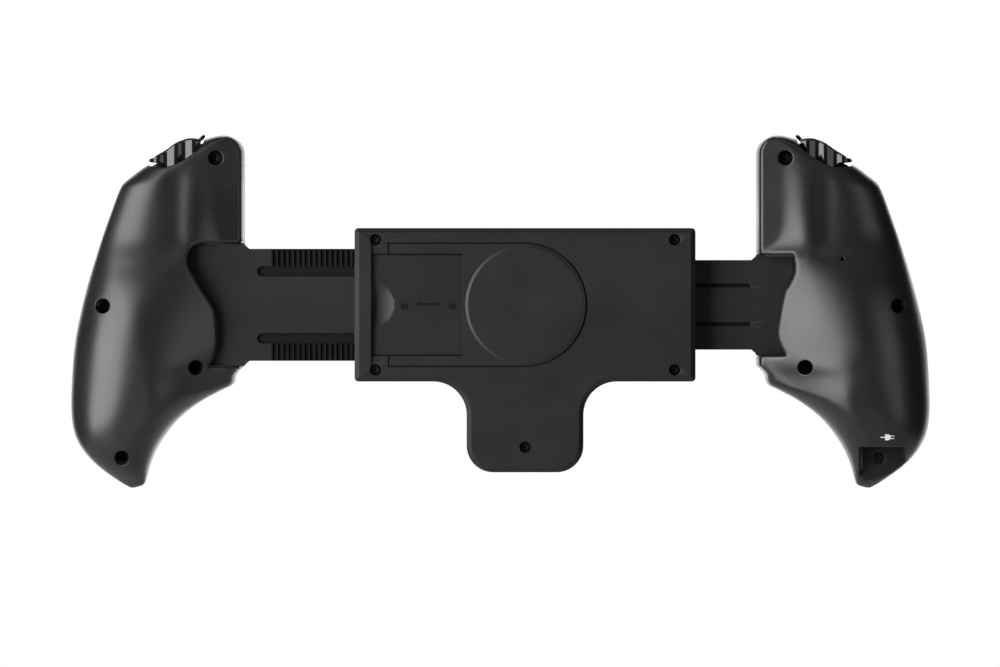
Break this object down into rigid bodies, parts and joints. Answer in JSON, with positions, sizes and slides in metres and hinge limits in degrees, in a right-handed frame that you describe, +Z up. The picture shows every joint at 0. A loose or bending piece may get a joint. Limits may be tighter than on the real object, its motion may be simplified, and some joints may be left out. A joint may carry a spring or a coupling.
{
  "type": "mobile game controller",
  "caption": "Telescopic mobile game controller: two hand grips on sliding arms clamp a phone or small tablet over a middle block with a rack lock and media keys.",
  "frame": {"origin": "middle of the pad that the back of the device rests on", "axes": "+X along the arms towards the player's left grip, +Y out of the rest pad towards the player, +Z up"},
  "size_m": [0.2579, 0.04, 0.106],
  "materials": {
    "block_plastic": "fine matte texture",
    "arm_plastic": "matte",
    "grip_plastic": "satin soft touch",
    "gloss_black": "polished",
    "button_plastic": "satin gloss",
    "soft_rubber": "matte",
    "key_mat_rubber": "matte",
    "steel": "plain",
    "circuit_board": "coated board",
    "inner_plastic": "plain",
    "battery_cell": "foil pouch"
  },
  "bodies": {
    "centre_block": {"block_rear_cover": "block_plastic", "block_front_plate": "block_plastic", "device_rest_pad": "soft_rubber", "lock_plate": "block_plastic", "block_screws": "steel", "tab_circuit_board": "circuit_board", "tab_key_mat": "key_mat_rubber", "clamp_spring": "steel"},
    "lock_slider": {"lock_slider": "block_plastic"},
    "lock_pawl": {"lock_pawl": "inner_plastic"},
    "home_button": {"home_button": "button_plastic"},
    "previous_key": {"previous_key": "button_plastic"},
    "play_key": {"play_key": "button_plastic"},
    "next_key": {"next_key": "button_plastic"},
    "volume_down_key": {"volume_down_key": "button_plastic"},
    "volume_up_key": {"volume_up_key": "button_plastic"},
    "right_handle": {"toothed_arm": "arm_plastic", "right_grip_rear_shell": "grip_plastic", "right_grip_front_shell": "grip_plastic", "right_device_pad": "soft_rubber", "right_grip_screws": "steel", "right_circuit_board": "circuit_board", "right_key_mat": "key_mat_rubber", "right_stick_base": "inner_plastic", "right_shoulder_pin": "steel"},
    "right_stick_yoke": {"right_stick_yoke": "inner_plastic"},
    "right_stick": {"right_stick": "button_plastic", "right_stick_cap": "soft_rubber"},
    "face_button_top": {"face_button_top": "button_plastic"},
    "face_button_right": {"face_button_right": "button_plastic"},
    "face_button_bottom": {"face_button_bottom": "button_plastic"},
    "face_button_left": {"face_button_left": "button_plastic"},
    "start_button": {"start_button": "button_plastic"},
    "right_shoulder_button": {"right_shoulder_button": "gloss_black"},
    "right_trigger": {"right_trigger": "gloss_black"},
    "left_handle": {"smooth_arm": "arm_plastic", "left_grip_rear_shell": "grip_plastic", "left_grip_front_shell": "grip_plastic", "left_device_pad": "soft_rubber", "left_grip_screws": "steel", "left_circuit_board": "circuit_board", "left_key_mat": "key_mat_rubber", "left_stick_base": "inner_plastic", "dpad_base": "inner_plastic", "battery": "battery_cell", "usb_socket": "steel", "usb_board": "circuit_board", "left_shoulder_pin": "steel"},
    "left_stick_yoke": {"left_stick_yoke": "inner_plastic"},
    "left_stick": {"left_stick": "button_plastic", "left_stick_cap": "soft_rubber"},
    "dpad_pivot": {"dpad_pivot": "inner_plastic"},
    "dpad": {"dpad": "button_plastic"},
    "select_button": {"select_button": "button_plastic"},
    "left_shoulder_button": {"left_shoulder_button": "gloss_black"},
    "left_trigger": {"left_trigger": "gloss_black"}
  },
  "joints": [
    {"name": "arm_right_slide", "type": "slide", "parent": "centre_block", "child": "right_handle", "axis": [-1, 0, 0], "range_m": [-0.0256, 0.0512]},
    {"name": "arm_left_slide", "type": "slide", "parent": "centre_block", "child": "left_handle", "axis": [1, 0, 0], "range_m": [0, 0.045], "stiffness_N_per_m": 120, "springref_m": -0.02, "deforming": ["clamp_spring"]},
    {"name": "arm_lock_slide", "type": "slide", "parent": "centre_block", "child": "lock_slider", "axis": [1, 0, 0], "range_m": [0, 0.005]},
    {"name": "arm_lock_pawl", "type": "slide", "parent": "centre_block", "child": "lock_pawl", "axis": [0, 1, 0], "range_m": [0, 0.001]},
    {"name": "home_button_press", "type": "slide", "parent": "centre_block", "child": "home_button", "axis": [0, -1, 0], "range_m": [0, 0.0007], "stiffness_N_per_m": 600},
    {"name": "previous_key_press", "type": "slide", "parent": "centre_block", "child": "previous_key", "axis": [0, -1, 0], "range_m": [0, 0.0007], "stiffness_N_per_m": 600},
    {"name": "play_key_press", "type": "slide", "parent": "centre_block", "child": "play_key", "axis": [0, -1, 0], "range_m": [0, 0.0007], "stiffness_N_per_m": 600},
    {"name": "next_key_press", "type": "slide", "parent": "centre_block", "child": "next_key", "axis": [0, -1, 0], "range_m": [0, 0.0007], "stiffness_N_per_m": 600},
    {"name": "volume_down_key_press", "type": "slide", "parent": "centre_block", "child": "volume_down_key", "axis": [0, -1, 0], "range_m": [0, 0.0007], "stiffness_N_per_m": 600},
    {"name": "volume_up_key_press", "type": "slide", "parent": "centre_block", "child": "volume_up_key", "axis": [0, -1, 0], "range_m": [0, 0.0007], "stiffness_N_per_m": 600},
    {"name": "face_button_top_press", "type": "slide", "parent": "right_handle", "child": "face_button_top", "axis": [0, -1, 0], "range_m": [0, 0.001], "stiffness_N_per_m": 700},
    {"name": "face_button_right_press", "type": "slide", "parent": "right_handle", "child": "face_button_right", "axis": [0, -1, 0], "range_m": [0, 0.001], "stiffness_N_per_m": 700},
    {"name": "face_button_bottom_press", "type": "slide", "parent": "right_handle", "child": "face_button_bottom", "axis": [0, -1, 0], "range_m": [0, 0.001], "stiffness_N_per_m": 700},
    {"name": "face_button_left_press", "type": "slide", "parent": "right_handle", "child": "face_button_left", "axis": [0, -1, 0], "range_m": [0, 0.001], "stiffness_N_per_m": 700},
    {"name": "start_button_press", "type": "slide", "parent": "right_handle", "child": "start_button", "axis": [0, -1, 0], "range_m": [0, 0.001], "stiffness_N_per_m": 700},
    {"name": "select_button_press", "type": "slide", "parent": "left_handle", "child": "select_button", "axis": [0, -1, 0], "range_m": [0, 0.001], "stiffness_N_per_m": 700},
    {"name": "analog_stick_left_up", "type": "hinge", "parent": "left_handle", "child": "left_stick_yoke", "pos_m": [0.09235, 0.0034, 0.02], "axis": [1, 0, 0], "range_deg": [-15, 15], "stiffness_Nm_per_rad": 0.04},
    {"name": "analog_stick_left_side", "type": "hinge", "parent": "left_stick_yoke", "child": "left_stick", "pos_m": [0.09235, 0.0034, 0.02], "axis": [0, 0, 1], "range_deg": [-15, 15], "stiffness_Nm_per_rad": 0.04},
    {"name": "analog_stick_right_up", "type": "hinge", "parent": "right_handle", "child": "right_stick_yoke", "pos_m": [-0.11345, 0.0034, -0.012], "axis": [1, 0, 0], "range_deg": [-15, 15], "stiffness_Nm_per_rad": 0.04},
    {"name": "analog_stick_right_side", "type": "hinge", "parent": "right_stick_yoke", "child": "right_stick", "pos_m": [-0.11345, 0.0034, -0.012], "axis": [0, 0, 1], "range_deg": [-15, 15], "stiffness_Nm_per_rad": 0.04},
    {"name": "dpad_up", "type": "hinge", "parent": "left_handle", "child": "dpad_pivot", "pos_m": [0.09875, 0.0034, -0.012], "axis": [1, 0, 0], "range_deg": [-5, 5], "stiffness_Nm_per_rad": 0.15},
    {"name": "dpad_side", "type": "hinge", "parent": "dpad_pivot", "child": "dpad", "pos_m": [0.09875, 0.0034, -0.012], "axis": [0, 0, 1], "range_deg": [-5, 5], "stiffness_Nm_per_rad": 0.15},
    {"name": "right_shoulder_button_press", "type": "hinge", "parent": "right_handle", "child": "right_shoulder_button", "pos_m": [-0.09905, 0, 0.0448], "axis": [0, -1, 0], "range_deg": [0, 5], "stiffness_Nm_per_rad": 0.12, "springref_deg": -1.72},
    {"name": "right_trigger_press", "type": "hinge", "parent": "right_handle", "child": "right_trigger", "pos_m": [-0.09905, 0, 0.0448], "axis": [0, -1, 0], "range_deg": [0, 5], "stiffness_Nm_per_rad": 0.12, "springref_deg": -1.72},
    {"name": "left_shoulder_button_press", "type": "hinge", "parent": "left_handle", "child": "left_shoulder_button", "pos_m": [0.08435, 0, 0.0448], "axis": [0, 1, 0], "range_deg": [0, 5], "stiffness_Nm_per_rad": 0.12, "springref_deg": -1.72},
    {"name": "left_trigger_press", "type": "hinge", "parent": "left_handle", "child": "left_trigger", "pos_m": [0.08435, 0, 0.0448], "axis": [0, 1, 0], "range_deg": [0, 5], "stiffness_Nm_per_rad": 0.12, "springref_deg": -1.72}
  ],
  "couplings": [
    {"joint": "arm_lock_pawl", "follows": "arm_lock_slide", "ratio": 0.2}
  ]
}
